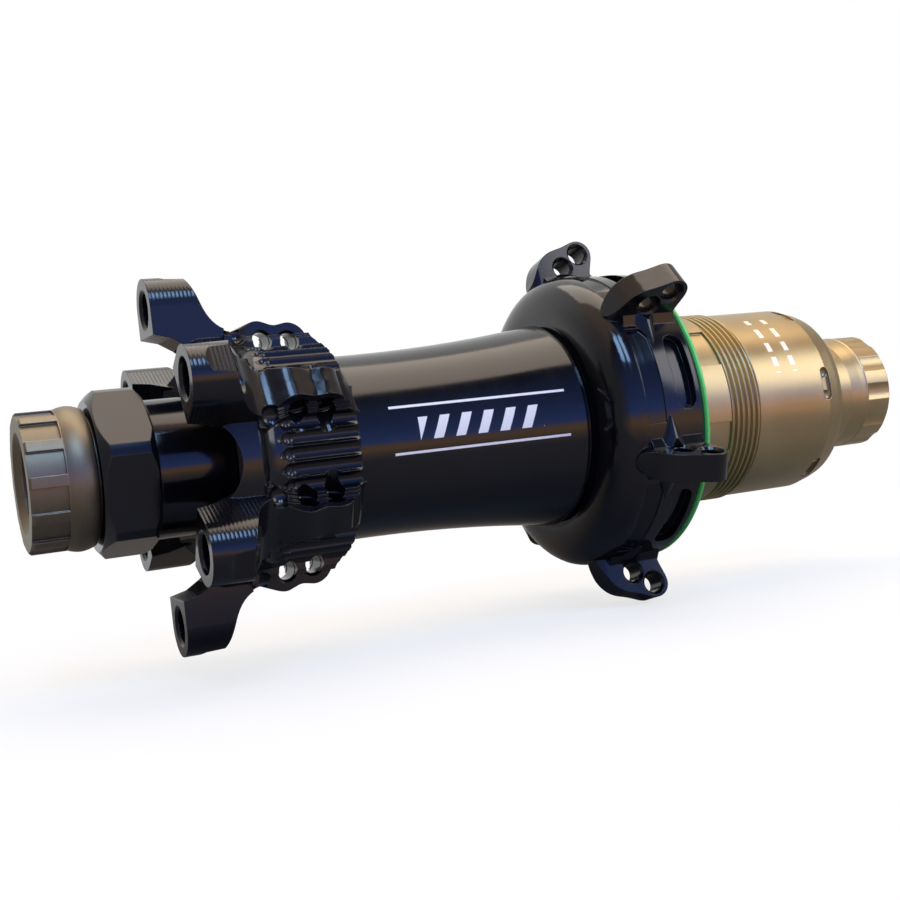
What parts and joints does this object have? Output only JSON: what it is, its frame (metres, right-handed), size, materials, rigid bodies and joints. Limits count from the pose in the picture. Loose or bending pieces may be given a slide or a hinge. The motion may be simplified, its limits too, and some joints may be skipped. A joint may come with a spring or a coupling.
{
  "type": "bicycle rear hub",
  "caption": "Rear bicycle hub for a thru-axle, with bolt-on disc rotor arms, straight-pull spoke ears and towers, and a ratcheting cassette driver.",
  "frame": {"origin": "on the hub axis, midway between the two end faces", "axes": "+Y along the hub axis towards the disc side, +Z through the middle of one rotor arm"},
  "size_m": [0.058, 0.142, 0.0588],
  "materials": {
    "black_anodised": "gloss black anodised, fine turning marks",
    "bronze_anodised": "satin gold-bronze anodised",
    "grey_bronze_anodised": "satin grey-bronze anodised",
    "green_seal": "bright green rubber",
    "black_rubber": "matt black rubber",
    "bearing_steel": "ground bearing steel",
    "hardened_steel": "dark hardened tool steel",
    "axle_aluminium": "clear anodised",
    "cage_plastic": "moulded nylon"
  },
  "bodies": {
    "axle": {"axle_tube": "axle_aluminium", "left_end_cap": "grey_bronze_anodised", "right_end_cap": "bronze_anodised", "preload_nut": "black_anodised", "dust_sleeve": "black_anodised", "cap_o_rings": "black_rubber", "hub_spacer": "axle_aluminium", "driver_spacer": "axle_aluminium", "left_hub_bearing_inner_ring": "bearing_steel", "right_hub_bearing_inner_ring": "bearing_steel", "inner_driver_bearing_inner_ring": "bearing_steel", "outer_driver_bearing_inner_ring": "bearing_steel"},
    "shell": {"hub_shell": "black_anodised", "left_lip_seal": "black_rubber", "ratchet_ring": "hardened_steel", "left_hub_bearing_outer_ring": "bearing_steel", "left_hub_bearing_shields": "black_rubber", "right_hub_bearing_outer_ring": "bearing_steel", "right_hub_bearing_shields": "black_rubber"},
    "freehub": {"driver_body": "bronze_anodised", "driver_seal": "green_seal", "bearing_circlip": "hardened_steel", "pawl_springs": "hardened_steel", "inner_driver_bearing_outer_ring": "bearing_steel", "inner_driver_bearing_shields": "black_rubber", "outer_driver_bearing_outer_ring": "bearing_steel", "outer_driver_bearing_shields": "black_rubber"},
    "left_hub_bearing_balls": {"left_hub_bearing_balls": "bearing_steel", "left_hub_bearing_cage": "cage_plastic"},
    "right_hub_bearing_balls": {"right_hub_bearing_balls": "bearing_steel", "right_hub_bearing_cage": "cage_plastic"},
    "inner_driver_bearing_balls": {"inner_driver_bearing_balls": "bearing_steel", "inner_driver_bearing_cage": "cage_plastic"},
    "outer_driver_bearing_balls": {"outer_driver_bearing_balls": "bearing_steel", "outer_driver_bearing_cage": "cage_plastic"},
    "pawl_1": {"pawl_1": "hardened_steel"},
    "pawl_2": {"pawl_2": "hardened_steel"},
    "pawl_3": {"pawl_3": "hardened_steel"},
    "pawl_4": {"pawl_4": "hardened_steel"}
  },
  "joints": [
    {"name": "shell_spin", "type": "hinge", "parent": "axle", "child": "shell", "pos_m": [0, 0, 0], "axis": [0, 1, 0], "continuous": true},
    {"name": "freehub_spin", "type": "hinge", "parent": "axle", "child": "freehub", "pos_m": [0, 0, 0], "axis": [0, 1, 0], "continuous": true},
    {"name": "left_hub_bearing_ball_orbit", "type": "hinge", "parent": "axle", "child": "left_hub_bearing_balls", "pos_m": [0, 0, 0], "axis": [0, 1, 0], "continuous": true},
    {"name": "right_hub_bearing_ball_orbit", "type": "hinge", "parent": "axle", "child": "right_hub_bearing_balls", "pos_m": [0, 0, 0], "axis": [0, 1, 0], "continuous": true},
    {"name": "inner_driver_bearing_ball_orbit", "type": "hinge", "parent": "axle", "child": "inner_driver_bearing_balls", "pos_m": [0, 0, 0], "axis": [0, 1, 0], "continuous": true},
    {"name": "outer_driver_bearing_ball_orbit", "type": "hinge", "parent": "axle", "child": "outer_driver_bearing_balls", "pos_m": [0, 0, 0], "axis": [0, 1, 0], "continuous": true},
    {"name": "pawl_1_swing", "type": "hinge", "parent": "freehub", "child": "pawl_1", "pos_m": [-0.0022, -0.0163, 0.0146], "axis": [0, -1, 0], "range_deg": [0, 12]},
    {"name": "pawl_2_swing", "type": "hinge", "parent": "freehub", "child": "pawl_2", "pos_m": [0.0146, -0.0163, 0.0022], "axis": [0, -1, 0], "range_deg": [0, 12]},
    {"name": "pawl_3_swing", "type": "hinge", "parent": "freehub", "child": "pawl_3", "pos_m": [0.0022, -0.0163, -0.0146], "axis": [0, -1, 0], "range_deg": [0, 12]},
    {"name": "pawl_4_swing", "type": "hinge", "parent": "freehub", "child": "pawl_4", "pos_m": [-0.0146, -0.0163, -0.0022], "axis": [0, -1, 0], "range_deg": [0, 12]}
  ],
  "couplings": [
    {"joint": "left_hub_bearing_ball_orbit", "follows": "shell_spin", "ratio": 0.5921},
    {"joint": "right_hub_bearing_ball_orbit", "follows": "shell_spin", "ratio": 0.5921},
    {"joint": "inner_driver_bearing_ball_orbit", "follows": "freehub_spin", "ratio": 0.561},
    {"joint": "outer_driver_bearing_ball_orbit", "follows": "freehub_spin", "ratio": 0.561},
    {"joint": "pawl_2_swing", "follows": "pawl_1_swing", "ratio": 1},
    {"joint": "pawl_3_swing", "follows": "pawl_1_swing", "ratio": 1},
    {"joint": "pawl_4_swing", "follows": "pawl_1_swing", "ratio": 1}
  ]
}
